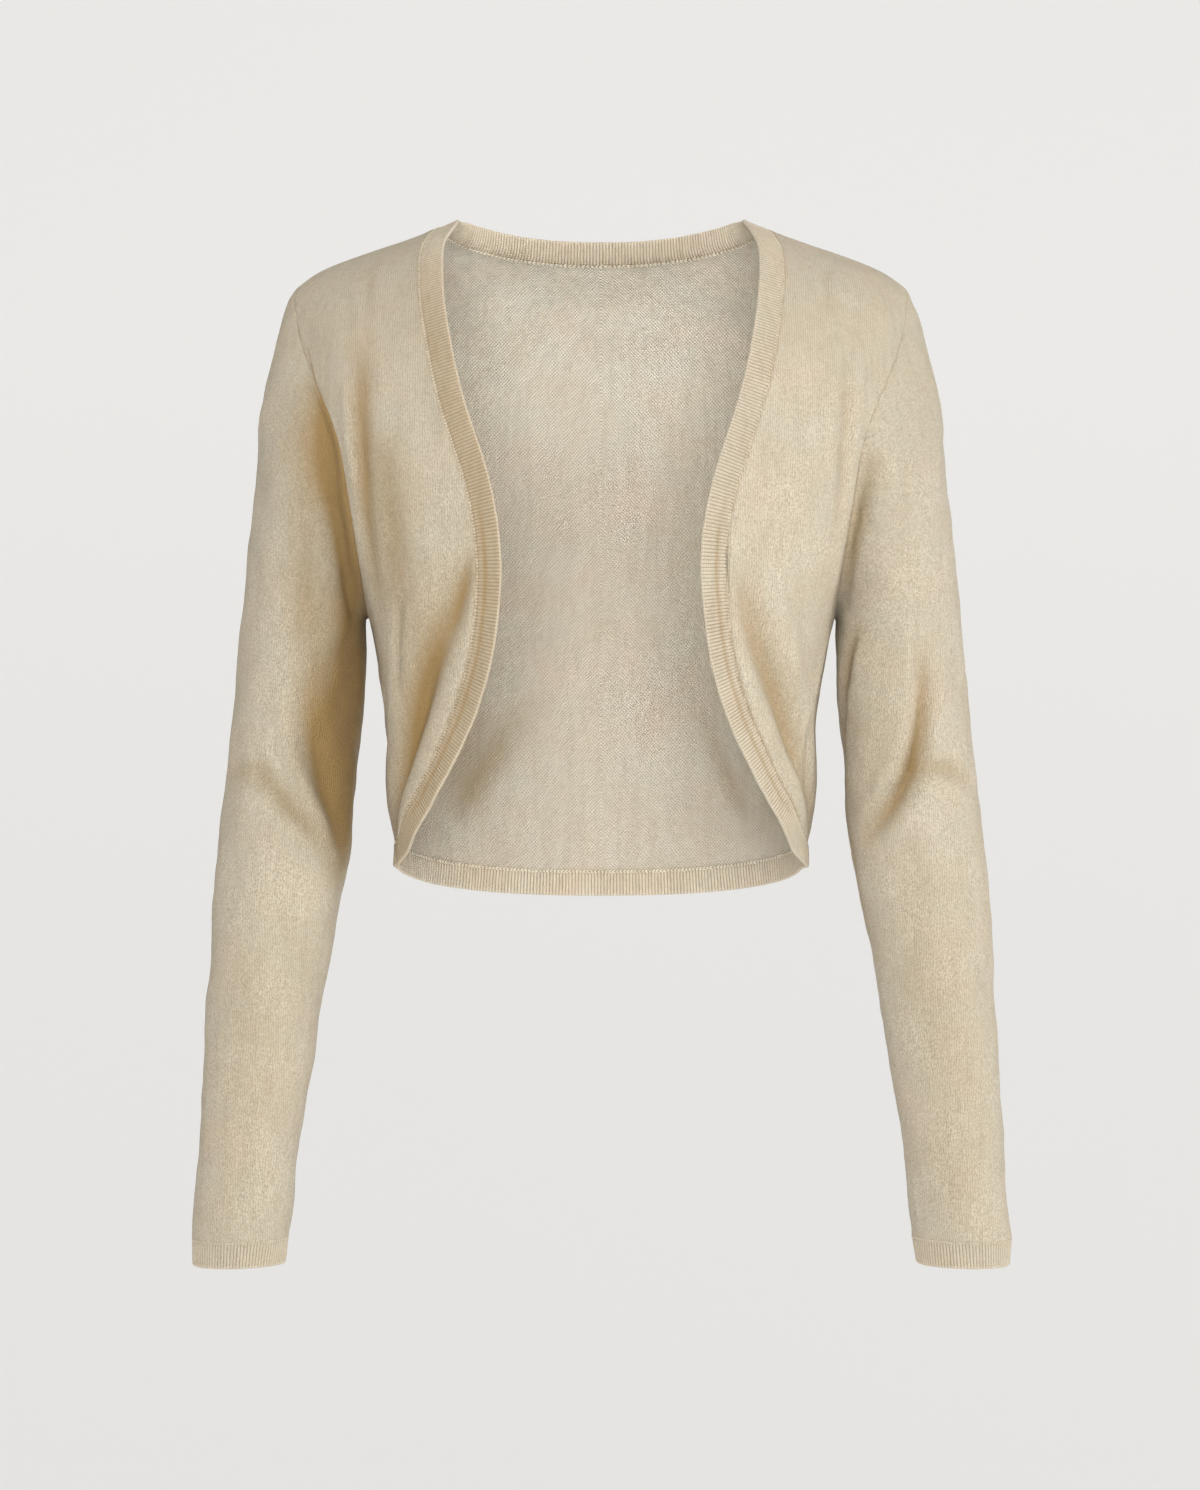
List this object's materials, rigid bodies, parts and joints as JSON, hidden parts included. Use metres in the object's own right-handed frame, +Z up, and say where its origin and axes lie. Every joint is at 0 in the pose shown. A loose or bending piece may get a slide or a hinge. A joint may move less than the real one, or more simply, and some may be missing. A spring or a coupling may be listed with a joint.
{
  "type": "worn bolero cardigan",
  "caption": "Cropped open-front knit cardigan, hollow as worn, with long set-in sleeves, rounded front edges and narrow rib bands at neck, fronts, hem and cuffs.",
  "frame": {"origin": "middle of the neck opening, level with the high points of the shoulders, where a wearer carries the garment", "axes": "+Z up, the front faces -Y, +X towards the wearer's left sleeve"},
  "size_m": [0.4978, 0.2199, 0.6398],
  "materials": {
    "fine_jersey": "fine-gauge beige jersey, matt with a slight lustre",
    "rib": "beige rib knit, matt"
  },
  "bodies": {
    "root": {"back": "fine_jersey", "front_left": "fine_jersey", "front_right": "fine_jersey", "sleeve_left": "fine_jersey", "sleeve_right": "fine_jersey", "cuff_left": "rib", "cuff_right": "rib", "front_neck_band": "rib", "hem_band": "rib"}
  },
  "joints": []
}
